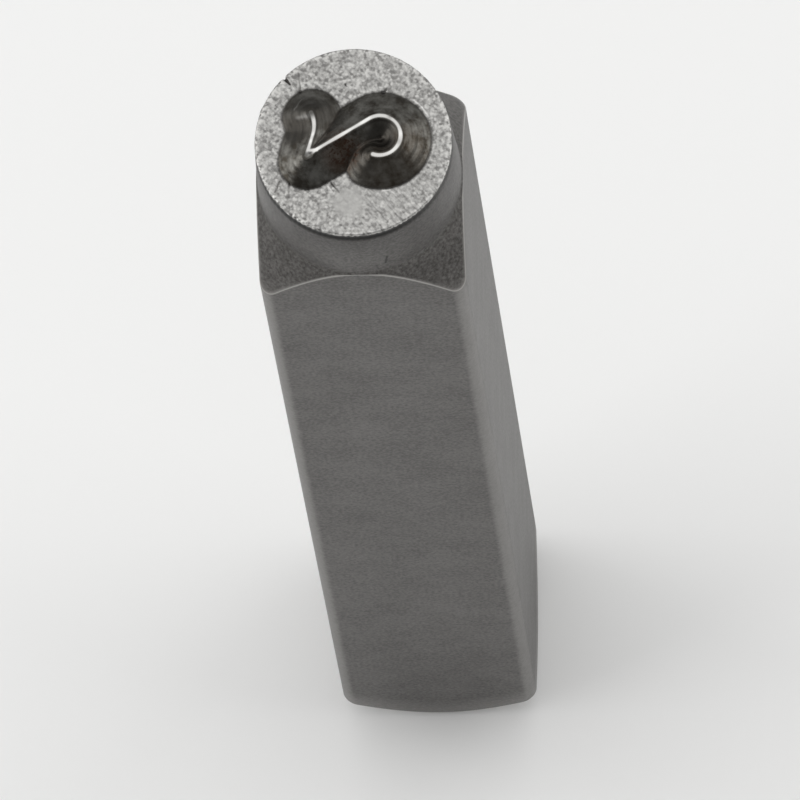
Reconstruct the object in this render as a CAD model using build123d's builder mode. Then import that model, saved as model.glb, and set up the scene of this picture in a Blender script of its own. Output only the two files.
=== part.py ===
from build123d import *
from math import radians, tan
import os

# A hand punch that stamps the figure 2. It is one hardened steel bar: a square
# shank for the fingers, a nose turned round at one end with the figure standing
# mirrored on its face, and a chamfered end for the hammer at the other.
# Millimetres. The punch stands on its struck end, centred on the origin, +Z up.

# Shank
shank_width = 8.0
shank_edge_radius = 0.6
body_length = 63.0

# Struck end
struck_diameter = 7.2
struck_chamfer_angle = 45.0

# Nose
face_diameter = 7.6
face_edge_break = 0.1
nose_length = 4.1
nose_taper = 2.1
shoulder_angle = 30.0
shoulder_fillet = 0.4

# Stroke of the figure: a narrow flat land with flanks that slope to the face
figure_height = 0.7
land_width = 0.19
flank_angle = 33.5
root_depth = 0.3

# Centre line of the figure, seen from above the face. Both arms leave the toe:
# a stem that bends into the tick, and a diagonal that bends into the bowl.
toe_x = -1.75
toe_y = -0.73
stem_lean = 74.0
stem_length = 0.87
tick_radius = 1.3
tick_turn = 41.0
diagonal_lean = 30.9
diagonal_length = 2.8
bowl_radius = 0.8
bowl_turn = 230.0

# Sizes that follow from those above
face_radius = face_diameter / 2
struck_radius = struck_diameter / 2
corner_reach = shank_width / 2**0.5
chamfer_height = (corner_reach - struck_radius) * tan(radians(struck_chamfer_angle))
nose_end_radius = face_radius + (nose_length - face_edge_break) * tan(radians(nose_taper))
nose_end_height = body_length - nose_length
shoulder_drop = (corner_reach - nose_end_radius) / tan(radians(shoulder_angle))
land_half = land_width / 2
foot = land_half + figure_height / tan(radians(flank_angle))

# Centre line of the stroke, drawn flat
with BuildLine():
    stem = PolarLine((toe_x, toe_y), stem_length, stem_lean)
    tick = JernArc(stem @ 1, stem % 1, tick_radius, tick_turn)
    diagonal = PolarLine((toe_x, toe_y), diagonal_length, diagonal_lean)
    bowl = JernArc(diagonal @ 1, diagonal % 1, bowl_radius, -bowl_turn)


def upright(point):
    """Vertical axis through a point of the figure, at the level of the face."""
    return Axis((point.X, point.Y, body_length), (0, 0, 1))


def station(path, at):
    """Plane across a path on the face, its x to the left of the way along."""
    return Plane(
        origin=upright(path @ at).position,
        x_dir=Vector(0, 0, 1).cross(path % at),
        z_dir=path % at,
    )


def stroke_section(plane, left=foot, right=foot):
    """Section of the stroke, cut off at a reach on each side of its centre line."""
    with BuildSketch(plane) as section:
        with BuildLine():
            Polyline(
                (-foot, -root_depth),
                (-foot, 0),
                (-land_half, figure_height),
                (land_half, figure_height),
                (foot, 0),
                (foot, -root_depth),
                close=True,
            )
        make_face()
        with Locations(((left - right) / 2, 0)):
            Rectangle(left + right, 2 * (figure_height + root_depth), mode=Mode.INTERSECT)
    return section.sketch


with BuildPart() as number_punch:
    # Square bar with rounded long edges
    with BuildSketch():
        RectangleRounded(shank_width, shank_width, shank_edge_radius)
    extrude(amount=body_length)

    # Both ends turned: the chamfer, and the nose with the shoulder that meets the square
    with BuildSketch(Plane.XZ):
        with BuildLine():
            nose = FilletPolyline(
                (face_radius, body_length - face_edge_break),
                (nose_end_radius, nose_end_height),
                (corner_reach, nose_end_height - shoulder_drop),
                radius=shoulder_fillet,
            )
            Polyline(
                nose @ 1,
                (corner_reach, chamfer_height),
                (struck_radius, 0),
                (0, 0),
                (0, body_length),
                (face_radius - face_edge_break, body_length),
                nose @ 0,
            )
        make_face()
    revolve(axis=Axis.Z, mode=Mode.INTERSECT)

    # Straight runs of the figure
    for run in (stem, diagonal):
        extrude(stroke_section(station(run, 0)), amount=run.length)

    # Bends, whose inner flank stops at the axis that it turns about
    tick_section = stroke_section(station(tick, 0), left=min(foot, tick_radius))
    revolve(tick_section, axis=upright(tick.arc_center), revolution_arc=tick_turn)
    bowl_section = stroke_section(station(bowl, 0), right=min(foot, bowl_radius))
    revolve(bowl_section, axis=upright(bowl.arc_center), revolution_arc=-bowl_turn)

    # Round ends of the tick and the bowl, and the outside of the turn at the toe
    for bend in (tick, bowl):
        revolve(stroke_section(station(bend, 1), right=0), axis=upright(bend @ 1), revolution_arc=-180)
    toe_turn = 180 - (stem_lean - diagonal_lean)
    revolve(stroke_section(station(diagonal, 0), left=0), axis=upright(diagonal @ 0), revolution_arc=-toe_turn)

number_punch.part.label = "number_punch"

os.makedirs("parts", exist_ok=True)
export_step(number_punch.part, "parts/number_punch.step")
print(number_punch.part.label, len(number_punch.part.solids()), "solid,", round(number_punch.part.volume, 1), "mm3")
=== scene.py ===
# %% [markdown]
# A hand punch that stamps the figure 2. The real one is a single bar of tool steel: a square
# shank to hold, a nose turned round on a lathe, and a figure standing mirrored on the face. The
# imported CAD model is the frame that everything here is fitted to, so it is loaded first.

# %% Load the frame
from math import cos, pi, radians, sin, tan

import bmesh
import bpy
import numpy as np
from mathutils import Matrix, Vector


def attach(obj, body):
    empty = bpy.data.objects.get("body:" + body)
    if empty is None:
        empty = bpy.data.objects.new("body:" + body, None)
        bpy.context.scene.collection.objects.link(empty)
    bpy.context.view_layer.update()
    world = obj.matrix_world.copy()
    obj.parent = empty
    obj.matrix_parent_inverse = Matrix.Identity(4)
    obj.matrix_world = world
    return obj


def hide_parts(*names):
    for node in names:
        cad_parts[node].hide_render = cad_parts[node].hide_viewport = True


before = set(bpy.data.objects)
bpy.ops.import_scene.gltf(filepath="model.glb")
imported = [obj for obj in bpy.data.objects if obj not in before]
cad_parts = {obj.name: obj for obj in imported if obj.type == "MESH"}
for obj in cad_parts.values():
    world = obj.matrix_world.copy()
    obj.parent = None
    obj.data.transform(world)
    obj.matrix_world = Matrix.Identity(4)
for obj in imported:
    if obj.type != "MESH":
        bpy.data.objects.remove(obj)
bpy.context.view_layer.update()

# %% [markdown]
# Everything is worked out in millimetres, the maker's unit, and turned to metres once, when a
# mesh is made. The sizes below are the punch's own, the same ones that the solid was built from.

# %% Sizes of the punch
MM = 0.001
face_level = 63.0
shank_half = 4.0
shank_edge_radius = 0.6
face_radius = 3.8
rim_break = 0.1
nose_length = 4.1
nose_taper = radians(2.1)
shoulder_angle = radians(30.0)
shoulder_fillet = 0.4
struck_radius = 3.6
print("shank", 2 * shank_half, "mm square, face", 2 * face_radius, "mm across")

# %% [markdown]
# The camera looks down on the face from in front and a little from the right, which is how the
# punch stands in the photograph: 10 degrees round and 72 degrees up. A long lens from far away
# keeps the shank's long edges almost parallel. The top of the picture is the punch's own +Y,
# so the front flat stays level, and the aim point puts the whole punch inside the frame.

# %% Camera
view_round, view_up = radians(10.0), radians(72.0)
view_distance = 0.75
frame_width = 0.0307
aim_right, aim_down = 0.0018, 0.0099
sensor_width = 36.0

toward_camera = Vector((sin(view_round) * cos(view_up), -cos(view_round) * cos(view_up), sin(view_up)))
picture_right = Vector((0, 1, 0)).cross(toward_camera).normalized()
picture_up = toward_camera.cross(picture_right)
aim = Vector((0, 0, face_level * MM)) + picture_right * aim_right - picture_up * aim_down

camera_data = bpy.data.cameras.new("camera")
camera_data.sensor_width = sensor_width
camera_data.lens = sensor_width * view_distance / frame_width
camera_data.clip_start, camera_data.clip_end = 0.01, 20.0
camera = bpy.data.objects.new("camera", camera_data)
camera.matrix_world = Matrix.Translation(aim + toward_camera * view_distance) @ Matrix(
    (picture_right, picture_up, toward_camera)).transposed().to_4x4()
bpy.context.scene.collection.objects.link(camera)
bpy.context.scene.camera = camera
print("lens", round(camera_data.lens), "mm at", view_distance, "m")

# %% [markdown]
# The stroke of the figure is a narrow flat land with sloping flanks, cut with a cone-shaped
# cutter that follows the figure's centre line. So one number decides the height of any point
# of the face: how far it is from that line. The line is a toe with two arms, a stem that bends
# into the tick and a diagonal that bends into the bowl.

# %% Centre line of the figure
figure_height = 0.7
land_half = 0.095
flank_slope = tan(radians(33.5))
foot_reach = land_half + figure_height / flank_slope
stem_lean, stem_length = 74.0, 0.87
diagonal_lean, diagonal_length = 30.9, 2.8
tick_radius, tick_turn = 1.3, 41.0
bowl_radius, bowl_turn = 0.8, -230.0


def heading(degrees):
    """Unit step in the plane of the face."""
    return np.array([cos(radians(degrees)), sin(radians(degrees))])


toe = np.array([-1.75, -0.73])
stem_end = toe + stem_length * heading(stem_lean)
diagonal_end = toe + diagonal_length * heading(diagonal_lean)
tick_centre = stem_end + tick_radius * heading(stem_lean + 90)
bowl_centre = diagonal_end + bowl_radius * heading(diagonal_lean - 90)
tick_start, bowl_start = stem_lean - 90, diagonal_lean + 90
tick_end = tick_centre + tick_radius * heading(tick_start + tick_turn)
bowl_end = bowl_centre + bowl_radius * heading(bowl_start + bowl_turn)
print("tick ends at", tick_end.round(2), "and bowl at", bowl_end.round(2), "mm")

# %% [markdown]
# The distance to that line is the shortest of the distances to its parts: two straight runs,
# two bends, and the ends of the tick and the bowl, where the cutter lifted out and left the
# flanks round. Numpy works it out for all points of the face at once.

# %% Distance to the centre line
def along_run(x, y, start, end):
    """How far along a straight run the nearest point lies, from 0 to 1."""
    run = end - start
    return np.clip(((x - start[0]) * run[0] + (y - start[1]) * run[1]) / run.dot(run), 0, 1)


def off_run(x, y, start, end):
    """Distance to a straight run."""
    run, along = end - start, along_run(x, y, start, end)
    return np.hypot(x - start[0] - along * run[0], y - start[1] - along * run[1])


def off_bend(x, y, centre, radius, first, turn):
    """Distance to an arc that starts at an angle and turns on from there, in degrees."""
    angle = np.degrees(np.arctan2(y - centre[1], x - centre[0]))
    swept = ((angle - first) * np.sign(turn)) % 360
    away = np.abs(np.hypot(x - centre[0], y - centre[1]) - radius)
    return np.where(swept <= abs(turn), away, np.inf)


def off_figure(x, y):
    """Distance to the whole centre line of the figure."""
    return np.minimum.reduce([
        off_run(x, y, toe, stem_end),
        off_run(x, y, toe, diagonal_end),
        off_bend(x, y, tick_centre, tick_radius, tick_start, tick_turn),
        off_bend(x, y, bowl_centre, bowl_radius, bowl_start, bowl_turn),
        np.hypot(x - tick_end[0], y - tick_end[1]),
        np.hypot(x - bowl_end[0], y - bowl_end[1]),
    ])


print("middle of the face is", off_figure(0.0, 0.0).round(3), "mm off the line")

# %% [markdown]
# Where two flanks meet inside the figure there is a crease. The real one is a little round, as
# wide as the tip of the cutter. The same comes from mixing each distance with those around it.
# What the mixing changes also shows how deep in a crease a point is, for the painted shade
# later on.

# %% Softened creases
crease_reach = 0.05


def ease(low, high, value):
    """0 at low and before it, 1 at high and beyond, smooth between."""
    t = np.clip((value - low) / (high - low), 0, 1)
    return t * t * (3 - 2 * t)


def off_and_crease(x, y):
    """The distance with its creases softened, and how much of a crease each point is in."""
    here = off_figure(x, y)
    around = (off_figure(x + crease_reach, y) + off_figure(x - crease_reach, y)
              + off_figure(x, y + crease_reach) + off_figure(x, y - crease_reach)) / 4
    crease = np.clip(4 * (here - around) / crease_reach, 0, 1)
    inside = ease(0.1, 0.2, here) * (1 - ease(foot_reach - 0.12, foot_reach - 0.02, here))
    crease = crease * inside
    return here + crease * (around - here), crease


print("creases softened over", crease_reach, "mm")

# %% [markdown]
# The land is worn where it is touched most: it has sunk at the end of the tick and at the toe,
# and a little on the bowl. Each place is a point, how far the wear reaches and its share of the
# full depth.

# %% Wear of the land
worn_depth = 0.06
worn_places = [
    (tick_end, 0.28, 1.0),
    ((-1.77, -0.77), 0.17, 1.0),
    ((-1.58, -0.69), 0.09, 0.7),
    ((1.45, 0.77), 0.10, 0.45),
    ((1.80, -0.25), 0.12, 0.3),
]


def spots(x, y, places):
    """1 in the middle of each place given as (point, reach, share), fading to 0 around it."""
    near = [share * np.exp(-((x - at[0]) ** 2 + (y - at[1]) ** 2) / reach**2)
            for at, reach, share in places]
    return np.clip(sum(near), 0, 1)


def land_wear(x, y):
    """1 where the land has worn away and 0 where it is whole."""
    return spots(x, y, worn_places)


print(len(worn_places), "worn places, up to", worn_depth, "mm deep")

# %% [markdown]
# The cutter leaves its marks. Its passes run round the figure at even distances, and where two
# passes overlap the flank is left slightly stepped, with finer steps between. They catch the
# light in thin arcs round the toe and the bowl. They are real relief, under a hundredth of a
# millimetre, so they go into the mesh. Two soft limits round the land's edges and the foot as the
# real ones are, and the cutter's edge has left a hair-fine groove all round the foot.

# %% Height of the figure
pass_step, pass_height = 0.29, 0.0070
fine_step, fine_height = 0.12, 0.0014
groove_depth, groove_half = 0.018, 0.035
land_rounding, foot_rounding = 0.045, 0.035
cutter_wander = 0.014


def soft_min(a, b, reach):
    """The smaller of two heights, blended where they are closer than reach."""
    near = np.maximum(reach - np.abs(a - b), 0) / reach
    return np.minimum(a, b) - near * near * reach / 4


def drift(x, y, size):
    """A slow wander between -1 and 1 over the face, that repeats after about size mm."""
    a = np.sin(2 * pi * (0.83 * x + 0.55 * y) / size + 1.3 * np.sin(2 * pi * 0.71 * y / size))
    b = np.sin(2 * pi * (0.35 * x - 0.92 * y) / (1.37 * size) + 2.1 + np.sin(2 * pi * x / size))
    return (a + b) / 2


def stroke_height(x, y):
    """Height of the stroke above the face, the distance to its centre line, and its creases."""
    off, crease = off_and_crease(x, y)
    off = off + cutter_wander * drift(x, y, 1.9)
    on_flank = ease(land_half, land_half + 0.2, off) * (1 - ease(foot_reach - 0.15, foot_reach, off))
    passes = pass_height * np.sin(2 * pi * off / pass_step + 0.8 * drift(x, y, 2.6))
    passes = passes + fine_height * np.sin(2 * pi * off / fine_step + drift(x, y, 1.3))
    flank = figure_height - (off - land_half) * flank_slope + on_flank * passes
    top = soft_min(flank, figure_height - worn_depth * land_wear(x, y), land_rounding)
    groove = groove_depth * np.exp(-(((off - foot_reach - 0.015) / groove_half) ** 2))
    return -soft_min(-top, 0 * top, foot_rounding) - groove, off, crease


print("flanks end", round(foot_reach, 3), "mm from the centre line")

# %% [markdown]
# The face has been in use. It carries a notch in the rim, a few scratches that start at the
# figure's foot, and small pits. Beside some of them, and along the upper right of the bowl, a
# little metal stands up as a burr, and a painted highlight lies on it. Each is a short stroke from
# one point to another, in millimetres from the middle of the face.

# %% Nicks and burrs
# Start, end, half width and depth
nicks = [
    ((-2.74, 2.76), (-2.44, 2.40), 0.070, 0.100),
    ((-2.03, 2.05), (-2.09, 2.80), 0.060, 0.026),
    ((-0.83, -1.66), (-0.52, -2.02), 0.046, 0.036),
    ((-2.84, -1.58), (-2.99, -1.98), 0.050, 0.026),
    ((-2.45, -1.66), (-2.49, -2.25), 0.048, 0.025),
    ((-0.29, 2.32), (-0.24, 2.27), 0.050, 0.036),
    ((1.14, 1.97), (1.30, 2.12), 0.060, 0.042),
    ((-2.95, 0.05), (-2.86, 0.14), 0.050, 0.020),
]
# Start, end, half width, height and how bright its painted highlight is
burrs = [
    ((2.34, 1.65), (2.65, 1.35), 0.040, 0.012, 0.60),
    ((2.65, 1.35), (2.89, 0.99), 0.040, 0.012, 0.60),
    ((-0.95, -1.80), (-0.74, -2.08), 0.045, 0.012, 0.55),
    ((-2.86, 2.48), (-2.74, 2.42), 0.070, 0.012, 1.00),
    ((-2.54, 2.80), (-2.46, 2.70), 0.050, 0.012, 0.60),
    ((1.14, -1.97), (1.42, -1.96), 0.040, 0.010, 0.75),
    ((1.48, -2.04), (1.60, -2.12), 0.030, 0.008, 0.55),
    ((-2.26, 1.24), (-1.95, 1.66), 0.030, 0.005, 0.09),
    ((-1.70, 0.86), (-2.14, 0.90), 0.100, 0.004, 0.10),
]
print(len(nicks), "nicks and", len(burrs), "burrs")

# %% [markdown]
# A scratch made by something hard is deepest where it starts, and gets narrower and shallower as
# the point lifts off. It never runs quite straight. One soft profile with those three traits
# serves nicks and burrs alike. They are pressed into the mesh or raised from it, so that they
# take light and shade from every side.

# %% Shape of a nick or a burr
def mark_profile(x, y, mark):
    """1 where a mark starts, fading and narrowing to its end, and 0 beside it."""
    start, end, half_width = np.array(mark[0]), np.array(mark[1]), mark[2]
    along = along_run(x, y, start, end)
    wander = 0.012 * drift(x, y, 0.31)
    away = off_run(x + wander, y - wander, start, end) / (half_width * (1 - 0.35 * along))
    return (1 - 0.45 * along**2) * np.exp(-away * away)


def nick_depth(x, y):
    """How deep the nicks go at a point of the face."""
    return sum(mark[3] * mark_profile(x, y, mark) for mark in nicks)


def burr_height(x, y):
    """How far the burrs stand up at a point of the face."""
    return sum(mark[3] * mark_profile(x, y, mark) for mark in burrs)


def burr_shine(x, y):
    """How bright the painted highlight on the burrs is."""
    return np.clip(sum(mark[4] * mark_profile(x, y, mark) for mark in burrs), 0, 1)


print("deepest nick", max(mark[3] for mark in nicks), "mm")

# %% [markdown]
# Along its near side the rim is finely jagged, where the wheel that ground the face ran off over
# the edge. The jags are 0.22 mm apart and uneven, with depths from a seeded draw. They dent the
# rim and run a little way in over the face as short slanting strokes.

# %% Jags of the rim
jags_round = 108
jag_slant = 0.5
jag_knots = np.linspace(-pi, pi, 2 * jags_round + 1)
jag_draw = np.random.default_rng(2).uniform(0.1, 1.0, len(jag_knots))


def jag_depth(at_angle):
    """Depth of the jags round the rim: up to 0.04 mm on the near side, almost none behind."""
    strength = np.interp(at_angle, jag_knots, jag_draw)
    near_side = ease(0.15, 0.75, -np.sin(at_angle + 0.25))
    teeth = 0.5 + 0.5 * np.sin(jags_round * at_angle)
    return strength * (0.040 * near_side * teeth + 0.007)


print("deepest jag", round(float(jag_depth(np.linspace(-pi, pi, 5000)).max()), 3), "mm")

# %% [markdown]
# The face is made first, as a grid of small cells laid on a disc. A square grid that is pressed
# into a circle has no pole in the middle and cells of about one size, 0.03 to 0.04 mm. Its edge
# gives the columns that the sides go down in.

# %% Grid of the face
cells = 196
flat_radius = face_radius - rim_break

ruler = np.linspace(-1, 1, cells + 1)
across, up = np.meshgrid(ruler, ruler)
wide = np.abs(across) > np.abs(up)
reach = np.where(wide, across, up)
short = np.where(wide, up, across)
turn = pi / 4 * short / np.where(reach == 0, 1, reach)
turn = np.where(wide, turn, pi / 2 - turn)
grid = flat_radius * np.stack([reach * np.cos(turn), reach * np.sin(turn), 0 * turn], -1).reshape(-1, 3)

points = np.arange((cells + 1) ** 2).reshape(cells + 1, cells + 1)
quads = np.stack([points[:-1, :-1], points[:-1, 1:], points[1:, 1:], points[1:, :-1]], -1).reshape(-1, 4)
edge_loop = np.concatenate([points[:-1, -1], points[-1, :0:-1], points[:0:-1, 0], points[0, :-1]])
angle = np.arctan2(grid[edge_loop, 1], grid[edge_loop, 0])
columns = len(edge_loop)
print(len(quads), "cells on the face,", columns, "columns round the punch")

# %% [markdown]
# The land, the foot and the marks are only a few cells wide, and on whole cells their edges would
# look like stairs. So the cells along them are halved, with the same tool that a modeller has
# under Subdivide. The rest stays as it is, which keeps the mesh light.

# %% Finer cells along the lines
grid_off = off_figure(grid[:, 0], grid[:, 1])
fine_here = (grid_off < 0.2) | (np.abs(grid_off - foot_reach) < 0.09)
for mark in nicks + burrs:
    fine_here |= mark_profile(grid[:, 0], grid[:, 1], mark) > 0.02
coarse = bpy.data.meshes.new("face_grid")
coarse.from_pydata(grid.tolist(), [], quads.tolist())
fine = bmesh.new()
fine.from_mesh(coarse)
halved = [edge for edge in fine.edges if fine_here[edge.verts[0].index] and fine_here[edge.verts[1].index]]
bmesh.ops.subdivide_edges(fine, edges=halved, cuts=1, use_grid_fill=True)
fine.verts.index_update()
face_x, face_y = np.array([vertex.co[:2] for vertex in fine.verts]).T
face_cells = [[vertex.index for vertex in cell.verts] for cell in fine.faces]
fine.free()
bpy.data.meshes.remove(coarse)
print(len(face_cells), "cells after halving")

# %% [markdown]
# Each point of the grid now gets its height: the level of the face, plus the figure, minus the
# nicks, plus the burrs, minus the jags where they run in from the rim.

# %% Heights of the face
stroke, face_off, face_crease = stroke_height(face_x, face_y)
face_nicks = nick_depth(face_x, face_y)
from_middle = np.hypot(face_x, face_y)
inward = flat_radius - from_middle
slanted = np.arctan2(face_y, face_x) + jag_slant * inward / face_radius
run_in = 0.5 * ease(0.45, 0.0, inward) * jag_depth(slanted)
face_z = face_level + stroke - face_nicks + burr_height(face_x, face_y) - run_in
print("highest point", round(float(stroke.max()), 3), "mm above the face")

# %% [markdown]
# Below the face the punch is one round turning set into one square bar. In each column the
# surface is the nearer of the two to the axis: the turned nose and shoulder at the top, the
# chamfer at the bottom, and the rounded square in between. Where the cone runs out on the flats
# it leaves four scallops. The rows meet there, and the edge is rounded with a small curve.

# %% Square of the shank and profile of the turned nose
def square_reach(turned):
    """Distance from the axis to the rounded square of the shank, in each direction."""
    folded = np.abs((turned + pi / 4) % (pi / 2) - pi / 4)
    flat = shank_half / np.cos(folded)
    inner = shank_half - shank_edge_radius
    along = inner * (np.cos(folded) + np.sin(folded))
    corner = along + np.sqrt(np.maximum(along**2 - 2 * inner**2 + shank_edge_radius**2, 0))
    return np.where(folded > np.arctan2(inner, shank_half), corner, flat)


bar_reach = square_reach(angle)
nose_end_level = face_level - nose_length
nose_end_radius = face_radius + (nose_length - rim_break) * tan(nose_taper)
shoulder_drop = (bar_reach - nose_end_radius) / tan(shoulder_angle)
scallop_level = nose_end_level - shoulder_drop
chamfer_level = bar_reach - struck_radius
print("scallops from", scallop_level.max().round(2), "down to", scallop_level.min().round(2), "mm")

# %% [markdown]
# The rim of the face is rounded a tenth of a millimetre. Each row that follows goes once round
# the punch and is (radius, level, how rubbed and painted bright, how dirty and painted dark).
# Any of the four is one value for the whole row, or one for each column.

# %% Rows of the rim
rows = []
jags = jag_depth(angle)
rim_notch = nick_depth(face_radius * np.cos(angle), face_radius * np.sin(angle))
for step in (0.12, 0.3, 0.5, 0.7, 0.88, 1.0):
    bend = step * pi / 2
    radius = flat_radius + rim_break * sin(bend) - (jags + 0.8 * rim_notch) * sin(bend)
    level = face_level - rim_break * (1 - cos(bend)) - 0.5 * jags * (1 - step)
    rows.append((radius, level, 0.0, 0.0))
rim_rows = len(rows)
print(rim_rows, "rows round the rim")

# %% [markdown]
# Grinding has pushed a thin burr over the rim, so the side of the nose just below it lies back a
# few hundredths of a millimetre. Dirt and painted shade in that recess draw a dark line under the
# face, clearest in front. Further down, the nose is painted darker near the rim, fading out towards
# the shoulder.

# %% Recess under the rim
recess_depth = 0.045
in_front = ease(0.0, 0.9, -np.sin(angle + 0.3))


def nose_radius(down):
    """Radius of the tapered nose at a depth below the face."""
    return face_radius + (down - rim_break) * tan(nose_taper)


def nose_darkening(down):
    """How much darker the nose is painted at a depth below the face."""
    return 0.22 * (1 - float(ease(0.8, 2.8, down)))


for down in (0.13, 0.18, 0.25, 0.34, 0.44, 0.54, 0.66, 0.84):
    recess = recess_depth * sin(pi * min(1.0, (down - rim_break) / 0.5) ** 0.6)
    radius = nose_radius(down) - recess - 0.3 * jags - 0.6 * rim_notch
    # dirt and painted shade in the recess under the rim burr, strongest in front
    rim_recess_dirt_and_shade = (1 - ease(0.44, 0.68, down)) * (0.45 + 0.55 * in_front)
    rows.append((radius, face_level - down, 0.0, np.maximum(rim_recess_dirt_and_shade, nose_darkening(down))))
print("dirt line from", rim_break, "to 0.68 mm below the face")

# %% [markdown]
# The rest of the nose is a plain taper down to the fillet, where the round tip of the lathe tool
# blended it into the shoulder. A curve through three points is close enough to that arc: it
# leaves along the taper and arrives along the cone.

# %% Rows of the nose and its fillet
def round_corner(step, above, corner, below):
    """A place on the short curve that rounds a corner, from 0 above it to 1 below it."""
    return (1 - step) ** 2 * above + 2 * step * (1 - step) * corner + step**2 * below


for down in (1.0, 1.6, 2.2, 2.8, 3.4):
    rows.append((nose_radius(down), face_level - down, 0.0, nose_darkening(down)))

fillet_leg = shoulder_fillet * tan((shoulder_angle - nose_taper) / 2)
fillet_mid = np.array([nose_end_radius, nose_end_level])
fillet_top = fillet_mid + fillet_leg * np.array([-sin(nose_taper), cos(nose_taper)])
fillet_low = fillet_mid + fillet_leg * np.array([sin(shoulder_angle), -cos(shoulder_angle)])
for step in (0.0, 0.25, 0.5, 0.75, 1.0):
    radius, level = round_corner(step, fillet_top, fillet_mid, fillet_low)
    rows.append((radius, level, 0.0, 0.0))
print("fillet from", fillet_top[1].round(2), "down to", fillet_low[1].round(2), "mm")

# %% [markdown]
# The shoulder goes down from the fillet to the scallop's edge, which is at another level in
# every column. The edge itself is a short curve from a point just above it on the cone, to one
# just below it on the bar. The same curve finishes the chamfer at the struck end. Tumbling has
# rubbed all these edges, and they are painted brighter as a highlight.

# %% Rows of the shoulder and its edge
edge_leg = 0.08


def soft_edge(above, corner, below):
    """Rows of a short curve between two points given as (radius, level), round a corner."""
    # each row's share of the rubbing and of the painted edge highlight
    for step, rub_and_highlight in ((0.0, 0.4), (0.25, 0.9), (0.5, 1.0), (0.75, 0.4), (1.0, 0.0)):
        radius, level = [round_corner(step, a, c, b) for a, c, b in zip(above, corner, below)]
        rows.append((radius, level, rub_and_highlight, 0.0))


gap = fillet_low[1] - scallop_level
leg = np.minimum(edge_leg, 0.45 * gap)
for share, rub_and_highlight in ((0.2, 0.0), (0.45, 0.0), (0.7, 0.0), (0.88, 0.0), (0.96, 0.15)):
    level = fillet_low[1] - share * (gap - leg)
    rows.append((nose_end_radius + (nose_end_level - level) * tan(shoulder_angle), level, rub_and_highlight, 0.0))
soft_edge((bar_reach - leg * tan(shoulder_angle), scallop_level + leg),
          (bar_reach, scallop_level), (bar_reach, scallop_level - edge_leg))
print("edges rounded over", edge_leg, "mm")

# %% [markdown]
# The flats of the shank are straight, so a few rows are enough. At the struck end a turned
# chamfer takes the corners off, and the flat that the hammer hits closes the bar.

# %% Rows of the shank and the struck end
shank_top, shank_low = scallop_level - edge_leg, chamfer_level + edge_leg
for share in (0.04, 0.2, 0.5, 0.8, 0.97):
    rows.append((bar_reach, shank_top - share * (shank_top - shank_low), 0.0, 0.0))
soft_edge((bar_reach, shank_low), (bar_reach, chamfer_level),
          (bar_reach - edge_leg, chamfer_level - edge_leg))
soft_edge((struck_radius + edge_leg, edge_leg), (struck_radius, 0.0), (struck_radius - edge_leg, 0.0))
for radius in (3.2, 2.2, 1.1):
    rows.append((radius, 0.0, 0.0, 0.0))
print(len(rows), "rows from the rim to the struck end")

# %% [markdown]
# All points and faces go into one mesh, because the real punch is one piece of steel. Numpy
# joins the grid of the face and the rows below it along the same loop of points, so there is no
# seam at the rim, and a fan closes the struck end.

# %% One mesh for the whole punch
row_radius, row_level, row_rubbed_and_highlight, row_dirt_and_shade = [
    np.array([row[part] + 0 * angle for row in rows]) for part in range(4)]
row_x, row_y = row_radius * np.cos(angle), row_radius * np.sin(angle)
row_nicks = nick_depth(row_x, row_y)
row_nicks[rim_rows + 3:] = 0
row_level -= row_nicks

vertices = np.concatenate([
    np.stack([face_x, face_y, face_z], -1),
    np.stack([row_x, row_y, row_level], -1).reshape(-1, 3),
    [[0, 0, 0]],
])
row_points = len(face_x) + np.arange(len(rows) * columns).reshape(len(rows), columns)
loops = np.concatenate([edge_loop[None], row_points])
upper, lower = loops[:-1], loops[1:]
side_quads = np.stack([upper, lower, np.roll(lower, -1, 1), np.roll(upper, -1, 1)], -1).reshape(-1, 4)
end_fan = np.stack([loops[-1], np.full(columns, len(vertices) - 1), np.roll(loops[-1], -1)], -1)

punch_mesh = bpy.data.meshes.new("punch_steel")
punch_mesh.from_pydata((vertices * MM).tolist(), [], face_cells + side_quads.tolist() + end_fan.tolist())
punch_mesh.shade_smooth()
punch = bpy.data.objects.new("punch_steel", punch_mesh)
bpy.context.scene.collection.objects.link(punch)
triangles = sum(len(cell) - 2 for cell in face_cells) + 2 * len(side_quads) + columns
print("punch:", len(vertices), "points,", triangles, "triangles")

# %% [markdown]
# The land was dressed with a fine stone, which touched it unevenly. Its shine is painted as a
# highlight all along it, brightest in a few places. At the toe the stone has also rounded the
# corner: the painted shine runs straight across it. How bright each point is becomes a mask, a
# number kept with each point of the mesh, which a material can read.

# %% Shine of the land
shine_places = [
    ((-1.35, -0.50), 0.16, 1.0),
    ((-1.59, -0.17), 0.10, 1.0),
    ((-1.51, 0.11), 0.10, 0.8),
    ((-1.45, 0.72), 0.20, 0.7),
    ((-0.19, 0.20), 0.35, 0.7),
    ((0.42, 0.57), 0.18, 1.0),
    ((1.86, 0.09), 0.16, 0.8),
    ((1.55, -0.55), 0.30, 0.6),
    ((0.62, 0.72), 0.12, 0.8),
]
blunt_toe = np.array([-1.70, -0.54]), np.array([-1.36, -0.52])

polish_and_shine = 0.70 + 0.30 * spots(face_x, face_y, shine_places)
# the land is stoned steel with a painted highlight, brightest at the listed places
bright_land = ease(0.090, 0.040, face_off) * (1 - 0.9 * land_wear(face_x, face_y))
across_toe = ease(0.090, 0.030, off_run(face_x, face_y, *blunt_toe))
bright_land = np.maximum(bright_land, across_toe) * polish_and_shine
print(int((bright_land > 0.5).sum()), "points on the bright land")
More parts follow.
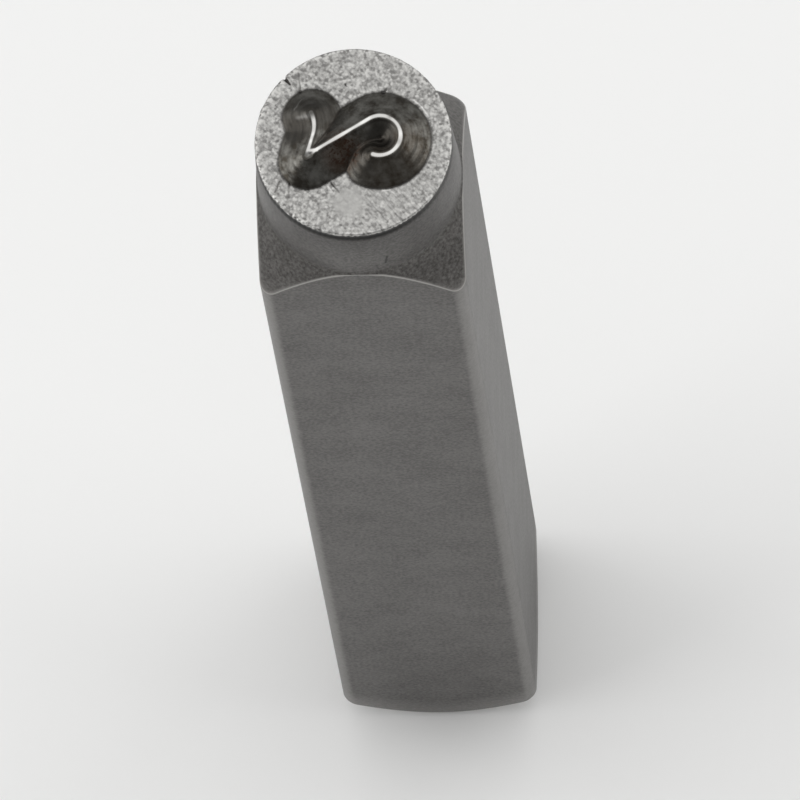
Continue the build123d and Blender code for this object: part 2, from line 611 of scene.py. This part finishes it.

# %% [markdown]
# The nicks are painted darker, and painted shade lies in the creases, along the foot of the flanks
# and close under the land, most of all inside the bowl.

# %% Darker nicks and painted shade on the face
foot_shade = np.exp(-(((face_off - foot_reach) / 0.05) ** 2))
under_land_shade = np.exp(-(((face_off - 0.160) / 0.050) ** 2))
in_bowl = np.exp(-((face_x - 1.1) ** 2 + (face_y - 0.45) ** 2) / 0.45**2)
# painted shade along the foot, in the creases and under the land, and darker nicks
face_dirt_and_shade = face_nicks / 0.045 + 0.75 * foot_shade + 0.85 * face_crease + (0.3 + 0.65 * in_bowl) * under_land_shade
print(int((face_dirt_and_shade > 0.5).sum()), "points in the dirt")

# %% [markdown]
# The mesh now gets its six masks: the distance to the centre line, the painted highlight of the
# land and the burrs, where the steel is blasted, where an edge is rubbed and painted brighter,
# where the rim is, and the dirt with the painted shade. The long edges of the shank are rubbed
# and painted brighter too, less than the scallops. Masks ride on the mesh, so they stay put in
# every view.

# %% What the materials read from the mesh
long_edge = ease(0.22 * shank_edge_radius, 0.0, np.abs(bar_reach - bar_reach.max()))
# the long edges are painted brighter as a highlight, besides the rubbing
row_rubbed_and_highlight = np.maximum(row_rubbed_and_highlight, 0.35 * (row_radius >= bar_reach - 1e-6) * long_edge)
beyond_face = 9.0
masks = {
    "off_line": (face_off, beyond_face + 0 * row_radius),
    "land": (np.maximum(bright_land, burr_shine(face_x, face_y)), 0 * row_radius),
    "blasted": (ease(foot_reach - 0.04, foot_reach + 0.01, face_off), 1 + 0 * row_radius),
    "rubbed_and_highlight": (0 * face_off, row_rubbed_and_highlight),
    "rim": (ease(flat_radius - 0.09, flat_radius, from_middle), 1 + 0 * row_radius),
    "dirt_and_shade": (np.clip(face_dirt_and_shade, 0, 0.9), np.clip(row_nicks / 0.05 + row_dirt_and_shade, 0, 1)),
}
for name, (on_face, on_rows) in masks.items():
    values = np.concatenate([on_face.ravel(), on_rows.ravel(), on_rows.ravel()[-1:]]).astype(np.float32)
    punch_mesh.attributes.new(name, "FLOAT", "POINT").data.foreach_set("value", values)
print("masks:", ", ".join(masks))

# %% Tie the punch to the frame
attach(punch, "root")
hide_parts("number_punch")
print("punch_steel replaces number_punch")

# %% [markdown]
# Small helpers serve every material. One turns a colour written as a hex number on a screen into
# the linear values that a renderer works with. Another adds a node, sets it, and links whatever
# it is given from other nodes. Sockets that share a name are given by number: on a Mix node 0 is
# the share, 2 and 3 are its two values, and 6 and 7 its two colours.

# %% Colour and node helpers
def linear(hex_colour):
    """sRGB hex to linear red, green, blue and 1."""
    channels = [int(hex_colour[i:i + 2], 16) / 255 for i in (1, 3, 5)]
    return [c / 12.92 if c <= 0.04045 else ((c + 0.055) / 1.055) ** 2.4 for c in channels] + [1.0]


def add(tree, kind, inputs=None, **settings):
    """Adds a node. An input is a value, or an output socket of another node to link from."""
    made = tree.nodes.new(kind)
    for name, value in settings.items():
        setattr(made, name, value)
    for name, value in (inputs or {}).items():
        if isinstance(value, bpy.types.NodeSocket):
            tree.links.new(value, made.inputs[name])
        else:
            made.inputs[name].default_value = value
    return made


def new_material(name):
    """An empty material and its node tree."""
    made = bpy.data.materials.new(name)
    made.use_nodes = True
    made.node_tree.nodes.clear()
    return made, made.node_tree


print("a grey of #808080 is", round(linear("#808080")[0], 3), "in linear light")

# %% [markdown]
# The face is hardened tool steel, ground and then shot-blasted. Blasting leaves a dense coat of
# shallow craters that scatter light evenly: a bright, grainy, even grey. The flanks below the
# land are milled and smoother, with the cutter's fine lines, and their darker colour is partly
# painted shade. The land was stoned flat last, and its shine is a painted highlight, a thin
# bright line. All three are one steel, so one shader takes its values from the masks. It starts
# with the patterns, each as large as the real thing.

# %% Patterns of the face
face_steel, tree = new_material("blasted_tool_steel")
place = add(tree, "ShaderNodeTexCoord").outputs["Object"]
off_line, land, blasted, rim, dirt_and_shade = [
    add(tree, "ShaderNodeAttribute", attribute_name=name).outputs["Fac"]
    for name in ("off_line", "land", "blasted", "rim", "dirt_and_shade")]

# Facets of about 0.1 mm, as the shot leaves them, each of them as bright as it happens to lie,
# in a softer grain of 0.17 mm
tilted = add(tree, "ShaderNodeMapping", {"Vector": place, "Rotation": (0.5, 0.4, 0.7)}).outputs[0]
facets = add(tree, "ShaderNodeTexVoronoi", {
    "Vector": tilted, "Scale": 1 / (0.10 * MM)}, feature="SMOOTH_F1")
facets = add(tree, "ShaderNodeSeparateColor", {"Color": facets.outputs["Color"]}).outputs["Red"]
grain = add(tree, "ShaderNodeTexNoise", {
    "Vector": tilted, "Scale": 1 / (0.17 * MM), "Detail": 3.0, "Roughness": 0.65})
blasting = add(tree, "ShaderNodeMix", {0: 0.35, 2: grain.outputs["Fac"], 3: facets})

# Grinding left scores before the face was blasted, about 0.1 mm apart and 0.6 mm long
along_scores = add(tree, "ShaderNodeMapping", {
    "Vector": place, "Rotation": (0, 0, radians(-50)), "Scale": (0.6 * MM, 0.11 * MM, 1.0 * MM)},
    vector_type="TEXTURE")
scores = add(tree, "ShaderNodeTexNoise", {
    "Vector": along_scores.outputs[0], "Scale": 1.0, "Detail": 2.0})

# Stains of oil and tempering on the flanks, about 0.5 mm, and rusty specks of 0.13 mm
stain = add(tree, "ShaderNodeTexNoise", {
    "Vector": tilted, "Scale": 1 / (0.5 * MM), "Detail": 4.0, "Roughness": 0.65})
speck = add(tree, "ShaderNodeTexNoise", {
    "Vector": tilted, "Scale": 1 / (0.13 * MM), "Detail": 2.0, "Roughness": 0.6})
print(len(tree.nodes), "nodes for the patterns of the face")

# %% [markdown]
# Wear, films and darker patches have their places. Low on the face the grain is rubbed smooth. To
# the right of that the scores show through the blasting. The flanks are painted darker round the
# tick, beside the stem, in the notch between the arms, in the bowl and at its tail; round the tick
# and in the bowl this is painted shade. A brown film and specks of rust sit on the near flank of
# the diagonal. Each place is a point with a soft edge.

# %% Where the patterns are strong
def fade_from(point, near, far, close_value, far_value):
    """A value that goes from close_value to far_value with the distance from a point, in mm."""
    away = add(tree, "ShaderNodeVectorMath", {0: place, 1: Vector(point) * MM}, operation="DISTANCE")
    return add(tree, "ShaderNodeMapRange", {
        "Value": away.outputs["Value"], "From Min": near * MM, "From Max": far * MM,
        "To Min": close_value, "To Max": far_value}, interpolation_type="SMOOTHSTEP").outputs["Result"]


rubbed_spot = fade_from((-0.2, -2.45, 63.0), 0.35, 0.9, 0.25, 1.0)
scored_side = fade_from((1.6, -2.9, 63.0), 0.6, 2.6, 0.38, 0.12)
# darker patches of the flanks: painted shade round the tick and in the bowl
tick_shade = fade_from((-1.95, 0.95, 63.4), 0.6, 1.15, 0.75, 0.0)
bowl_shade = fade_from((1.15, 0.1, 63.3), 0.45, 0.80, 0.80, 0.0)
stem_darkening = fade_from((-2.2, 0.38, 63.3), 0.40, 0.68, 0.85, 0.0)
notch_darkening = fade_from((-0.95, 0.95, 63.3), 0.35, 0.95, 0.75, 0.0)
tail_darkening = fade_from((0.3, -0.9, 63.3), 0.3, 0.9, 0.6, 0.0)
warm_film = fade_from((1.6, -1.0, 63.2), 0.8, 2.0, 0.30, 0.0)
brown_film = fade_from((-0.50, -0.50, 63.2), 0.5, 1.05, 0.45, 0.0)
rusty_spot = fade_from((-0.40, -0.35, 63.3), 0.4, 1.00, 0.85, 0.0)

pattern = add(tree, "ShaderNodeMix", {0: scored_side, 2: blasting.outputs[0], 3: scores.outputs["Fac"]})
pattern = add(tree, "ShaderNodeMix", {0: rubbed_spot, 2: 0.52, 3: pattern.outputs[0]})
rust = add(tree, "ShaderNodeMapRange", {
    "Value": speck.outputs["Fac"], "From Min": 0.48, "From Max": 0.60},
    interpolation_type="SMOOTHSTEP")
rust = add(tree, "ShaderNodeMath", {0: rust.outputs["Result"], 1: rusty_spot}, operation="MULTIPLY")
print(len(tree.nodes), "nodes with their places")

# %% [markdown]
# A pattern becomes colour by running between a dark and a light tone. Films, stains and dirt are
# then laid over it one after another, as they came to lie on the real steel: what a film covers
# fully takes its colour, and where it is thin the steel shows through.

# %% Two tones, and films over them
def two_tones(value, low, high, dark, light):
    """A value turned into a colour between two tones."""
    share = add(tree, "ShaderNodeMapRange", {"Value": value, "From Min": low, "From Max": high})
    return add(tree, "ShaderNodeMix", {
        0: share.outputs["Result"], 6: linear(dark), 7: linear(light)}, data_type="RGBA").outputs[2]


def lay_over(colour, films):
    """Films laid over a colour in turn, each given as (its colour, how much of it there is)."""
    for film, amount in films:
        film = linear(film) if isinstance(film, str) else film
        colour = add(tree, "ShaderNodeMix", {0: amount, 6: colour, 7: film}, data_type="RGBA").outputs[2]
    return colour


dark_flank_tone = "#312f2c"
# the flanks' two tones are set darker than the blasted face, partly as painted shade, and darkened further
# in five places
flank_tone = lay_over(two_tones(stain.outputs["Fac"], 0.36, 0.66, "#36332e", "#686763"), [
    ("#4a4035", warm_film),
    ("#49372b", brown_film),
    (dark_flank_tone, tick_shade),
    (dark_flank_tone, stem_darkening),
    (dark_flank_tone, notch_darkening),
    (dark_flank_tone, bowl_shade),
    (dark_flank_tone, tail_darkening),
    ("#3b2920", rust.outputs[0]),
])
print(len(tree.nodes), "nodes with the colour of the flanks")

# %% [markdown]
# The blasted face is laid over the flanks, the painted highlight of the land over both, and the
# dirt with the painted shade last. The rim is painted a little brighter than the face in uneven
# dabs, as a highlight.

# %% Colours of the face
blasted_tone = two_tones(pattern.outputs[0], 0.34, 0.64, "#757472", "#bfbebb")
uneven = add(tree, "ShaderNodeMapRange", {
    "Value": pattern.outputs[0], "From Min": 0.42, "From Max": 0.58, "To Min": 0.0, "To Max": 0.6})
rim_highlight = add(tree, "ShaderNodeMath", {0: rim, 1: uneven.outputs["Result"]}, operation="MULTIPLY")
# lighter dabs on the rim and the light land are painted highlights; the dark last layer is dirt and painted
# shade
face_colour = lay_over(flank_tone, [
    (blasted_tone, blasted),
    ("#d0cfcc", rim_highlight.outputs[0]),
    ("#dddcd9", land),
    ("#2b2825", dirt_and_shade),
])
print(len(tree.nodes), "nodes with the colours of the face")

# %% [markdown]
# Steel is a metal, so metallic is 1 and the IOR stays at its default. Roughness is what tells
# the finishes apart: about 0.45 for blasted steel, 0.36 for a milled flank and 0.24 for a stoned
# land. The craters and the feed lines are too shallow for the mesh and go in as bump.

# %% Gloss and relief of the face
rough_or_smooth = add(tree, "ShaderNodeMix", {0: blasted, 2: 0.36, 3: 0.45})
face_roughness = add(tree, "ShaderNodeMix", {0: land, 2: rough_or_smooth.outputs[0], 3: 0.24})

# The mask of the distance is in millimetres. Feed lines of the cutter, drawn 0.08 mm apart so
# that they show; the real ones are about half
feed = add(tree, "ShaderNodeMath", {0: off_line, 1: 2 * pi / 0.08}, operation="MULTIPLY")
feed = add(tree, "ShaderNodeMath", {0: feed.outputs[0]}, operation="SINE")
face_relief = add(tree, "ShaderNodeMix", {0: blasted, 2: feed.outputs[0], 3: pattern.outputs[0]})
relief_depth = add(tree, "ShaderNodeMix", {0: blasted, 2: 0.0004 * MM, 3: 0.030 * MM})
face_bump = add(tree, "ShaderNodeBump", {
    "Height": face_relief.outputs[0], "Distance": relief_depth.outputs[0], "Strength": 1.0})
face_shader = add(tree, "ShaderNodeBsdfPrincipled", {
    "Base Color": face_colour, "Roughness": face_roughness.outputs[0],
    "Metallic": 1.0, "Normal": face_bump.outputs[0]})
add(tree, "ShaderNodeOutputMaterial", {"Surface": face_shader.outputs[0]})
print("blasted_tool_steel:", len(tree.nodes), "nodes")

# %% [markdown]
# The rest of the bar is the same steel, hardened and then tumbled with stones. That leaves a
# satin, slightly mottled dark grey with no bright tool lines: fine specks of 0.13 mm from the
# stones, over clouds of about 2 mm from the hardening.

# %% Patterns of the tumbled steel
bar_steel, tree = new_material("tumbled_tool_steel")
place = add(tree, "ShaderNodeTexCoord").outputs["Object"]
rubbed_and_highlight, dirt_and_shade = [
    add(tree, "ShaderNodeAttribute", attribute_name=name).outputs["Fac"] for name in ("rubbed_and_highlight", "dirt_and_shade")]
speck = add(tree, "ShaderNodeTexNoise", {
    "Vector": place, "Scale": 1 / (0.13 * MM), "Detail": 4.0, "Roughness": 0.6})
cloud = add(tree, "ShaderNodeTexNoise", {
    "Vector": place, "Scale": 1 / (2.2 * MM), "Detail": 4.0, "Roughness": 0.6})
mottle = add(tree, "ShaderNodeMix", {0: 0.74, 2: cloud.outputs["Fac"], 3: speck.outputs["Fac"]})
print(len(tree.nodes), "nodes for the patterns of the bar")

# %% [markdown]
# The nose has been knocked against other tools in use. That left a short dark dent low on the
# front, a fainter one beside it and a scuff on the shoulder, and the turning tool left one thin
# line on the left. Each is drawn as the distance to a short line that lies on the surface, in the
# punch's own millimetres, so it stays where it is in every view.

# %% Knocks on the nose
def line_mark(start, end, half_width, strength):
    """A thin mark between two points of the surface, in mm."""
    run = (Vector(end) - Vector(start)) * MM
    from_start = add(tree, "ShaderNodeVectorMath", {
        0: place, 1: Vector(start) * MM}, operation="SUBTRACT").outputs[0]
    along = add(tree, "ShaderNodeVectorMath", {
        0: from_start, 1: run / run.length_squared}, operation="DOT_PRODUCT").outputs["Value"]
    along = add(tree, "ShaderNodeClamp", {"Value": along}).outputs[0]
    nearest = add(tree, "ShaderNodeVectorMath", {0: run, "Scale": along}, operation="SCALE").outputs[0]
    away = add(tree, "ShaderNodeVectorMath", {
        0: from_start, 1: nearest}, operation="DISTANCE").outputs["Value"]
    return add(tree, "ShaderNodeMapRange", {
        "Value": away, "From Min": 0.3 * half_width * MM, "From Max": 1.3 * half_width * MM,
        "To Min": strength, "To Max": 0.0}, interpolation_type="SMOOTHSTEP").outputs["Result"]


dent = line_mark((1.145, -3.726, 60.22), (1.059, -3.776, 59.58), 0.055, 0.75)
light_dent = line_mark((0.70, -3.856, 59.55), (0.76, -3.868, 59.10), 0.045, 0.30)
scuff = line_mark((-1.85, -3.569, 58.78), (-1.52, -3.72, 58.74), 0.055, 0.30)
tool_line = line_mark((-2.49, -2.89, 62.5), (-2.03, -3.27, 61.4), 0.035, 0.45)
print(len(tree.nodes), "nodes with the knocks")

# %% [markdown]
# The grey of the bar runs between two close tones. Edges that stick out are rubbed a little
# smoother by the tumbling and painted brighter as a highlight. Dirt and painted shade darken the
# recess under the rim, the nose is painted darker near it, and the knocks are dark.

# %% Colour of the bar
soil_and_shade = "#0f0e0d"
# rubbed edges are also painted brighter as a highlight; the dark layer is dirt and painted shade under the
# rim
bar_colour = lay_over(two_tones(mottle.outputs[0], 0.37, 0.63, "#474543", "#6c6a68"), [
    ("#a09e9b", rubbed_and_highlight),
    (soil_and_shade, dirt_and_shade),
    (soil_and_shade, dent),
    (soil_and_shade, light_dent),
    (soil_and_shade, scuff),
    (soil_and_shade, tool_line),
])
bar_roughness = add(tree, "ShaderNodeMix", {0: rubbed_and_highlight, 2: 0.46, 3: 0.36})
print(len(tree.nodes), "nodes with the colour of the bar")

# %% [markdown]
# The turned nose keeps a faint trace of the lathe, rings that follow the feed of the tool. They
# fade out over the shoulder, because the shank was never turned. Rings and stone marks are both
# bump, since they are far finer than the mesh.

# %% Lathe lines and stone marks
height = add(tree, "ShaderNodeSeparateXYZ", {"Vector": place}).outputs["Z"]
# Lathe feed of 0.1 mm a turn, drawn at 0.16 mm so that it shows
turned = add(tree, "ShaderNodeMath", {0: height, 1: 2 * pi / (0.16 * MM)}, operation="MULTIPLY")
turned = add(tree, "ShaderNodeMath", {0: turned.outputs[0]}, operation="SINE")
on_nose = add(tree, "ShaderNodeMapRange", {
    "Value": height, "From Min": 58.0 * MM, "From Max": 59.4 * MM, "To Max": 0.14},
    interpolation_type="SMOOTHSTEP").outputs["Result"]
turned = add(tree, "ShaderNodeMath", {0: turned.outputs[0], 1: on_nose}, operation="MULTIPLY")
marks = add(tree, "ShaderNodeMath", {0: turned.outputs[0], 1: speck.outputs["Fac"]}, operation="ADD")
bar_bump = add(tree, "ShaderNodeBump", {
    "Height": marks.outputs[0], "Distance": 0.0018 * MM, "Strength": 1.0})
bar_shader = add(tree, "ShaderNodeBsdfPrincipled", {
    "Base Color": bar_colour, "Roughness": bar_roughness.outputs[0],
    "Metallic": 1.0, "Normal": bar_bump.outputs[0]})
add(tree, "ShaderNodeOutputMaterial", {"Surface": bar_shader.outputs[0]})
print("tumbled_tool_steel:", len(tree.nodes), "nodes")

# %% [markdown]
# One mesh can carry two materials. The face and its rim take the blasted steel, everything below
# takes the tumbled steel, and each face of the mesh is told its slot by number.

# %% Give the materials to the mesh
punch_mesh.materials.append(face_steel)
punch_mesh.materials.append(bar_steel)
blasted_faces = len(face_cells) + (rim_rows - 1) * columns
slots = np.ones(len(punch_mesh.polygons), np.int32)
slots[:blasted_faces] = 0
punch_mesh.polygons.foreach_set("material_index", slots)
punch_mesh.update()
print(blasted_faces, "faces of blasted steel,", len(slots) - blasted_faces, "of tumbled steel")

# %% [markdown]
# The punch stands on its struck end on a plain pale floor, matt like painted board. Further out
# the board gets darker and glows by itself instead, as bright as the backdrop, so that no
# horizon cuts the picture. The glow is there for rays that show the floor, straight or mirrored,
# and not for the diffuse ones, so that it adds no light to the room.

# %% Floor
side = 4.0
backdrop_level = 0.86
near_glow = 0.02
floor_sheet = bpy.data.meshes.new("floor")
floor_sheet.from_pydata([(-side, -side, 0), (side, -side, 0), (side, side, 0), (-side, side, 0)],
                        [], [(0, 1, 2, 3)])
floor = bpy.data.objects.new("floor", floor_sheet)
bpy.context.scene.collection.objects.link(floor)

pale_card, tree = new_material("pale_card")
rays = add(tree, "ShaderNodeLightPath").outputs
shown = add(tree, "ShaderNodeMath", {
    0: rays["Is Camera Ray"], 1: rays["Is Glossy Ray"]}, operation="MAXIMUM")
shown = add(tree, "ShaderNodeMath", {
    0: shown.outputs[0], 1: rays["Is Transmission Ray"]}, operation="MAXIMUM")
from_punch = add(tree, "ShaderNodeVectorMath", {
    0: add(tree, "ShaderNodeTexCoord").outputs["Object"]}, operation="LENGTH").outputs["Value"]
far = add(tree, "ShaderNodeMapRange", {
    "Value": from_punch, "From Min": 0.16, "From Max": 0.7},
    interpolation_type="SMOOTHSTEP").outputs["Result"]
own_light = add(tree, "ShaderNodeMix", {0: far, 2: near_glow, 3: backdrop_level})
glow = add(tree, "ShaderNodeMath", {0: shown.outputs[0], 1: own_light.outputs[0]}, operation="MULTIPLY")
card_colour = add(tree, "ShaderNodeMix", {
    0: far, 6: linear("#eeeeed"), 7: linear("#000000")}, data_type="RGBA").outputs[2]
card = add(tree, "ShaderNodeBsdfPrincipled", {
    "Base Color": card_colour, "Roughness": 0.9, "Specular IOR Level": 0.0,
    "Emission Color": linear("#ffffff"), "Emission Strength": glow.outputs[0]})
add(tree, "ShaderNodeOutputMaterial", {"Surface": card.outputs[0]})
floor_sheet.materials.append(pale_card)
print("floor", 2 * side, "m wide, backdrop at", backdrop_level)

# %% [markdown]
# The room around is as pale as the backdrop at the horizon and dimmer above it. Every kind of ray
# sees the same room, so the steel mirrors what the picture shows. The dim part above gives the
# near flanks something dark to mirror, and that is what shapes them to the eye.

# %% Surroundings
wall_level, ceiling_level = 0.60, 0.30
world = bpy.data.worlds.new("studio")
bpy.context.scene.world = world
world.use_nodes = True
tree = world.node_tree
tree.nodes.clear()
direction = add(tree, "ShaderNodeTexCoord").outputs["Generated"]
upward = add(tree, "ShaderNodeSeparateXYZ", {"Vector": direction}).outputs["Z"]
walls = add(tree, "ShaderNodeMapRange", {
    "Value": upward, "From Min": 0.0, "From Max": 0.6, "To Min": wall_level, "To Max": ceiling_level},
    interpolation_type="SMOOTHSTEP").outputs["Result"]
horizon = add(tree, "ShaderNodeMapRange", {
    "Value": upward, "From Min": 0.02, "From Max": 0.12, "To Min": backdrop_level - wall_level,
    "To Max": 0.0}, interpolation_type="SMOOTHSTEP").outputs["Result"]
strength = add(tree, "ShaderNodeMath", {0: walls, 1: horizon}, operation="ADD")
backdrop = add(tree, "ShaderNodeBackground", {
    "Color": linear("#ffffff"), "Strength": strength.outputs[0]})
add(tree, "ShaderNodeOutputWorld", {"Surface": backdrop.outputs[0]})
print("room from", backdrop_level, "at the horizon to", ceiling_level, "overhead")

# %% [markdown]
# Steel shows what it reflects, so the lights are placed where each surface looks. The face
# mirrors the ceiling a little behind the punch: a broad soft box there makes it bright. The
# flanks mirror the walls, which get one weaker box on each side, and the front stays plain, so
# the near flanks are the darkest.

# %% Soft boxes
lamp_target = Vector((0, 0, 0.05))


def soft_box(name, direction, distance, width, tall, power):
    """A rectangular lamp that looks at the punch's nose from a direction. Metres and watts."""
    data = bpy.data.lights.new(name, "AREA")
    data.shape, data.size, data.size_y, data.energy = "RECTANGLE", width, tall, power
    lamp = bpy.data.objects.new(name, data)
    away = Vector(direction).normalized()
    lamp.location = lamp_target + away * distance
    lamp.rotation_mode = "QUATERNION"
    lamp.rotation_quaternion = away.to_track_quat("Z", "Y")
    lamp.visible_camera = False
    bpy.context.scene.collection.objects.link(lamp)


soft_box("ceiling_box", (-0.1, 0.42, 0.9), 0.8, 1.4, 1.2, 5.3)
soft_box("left_box", (-0.92, 0.0, 0.41), 0.9, 0.96, 0.34, 3.8)
soft_box("right_box", (0.9, 0.24, 0.42), 0.9, 1.00, 0.28, 2.7)

# %% Finish
bpy.context.scene.view_settings.view_transform = "Standard"
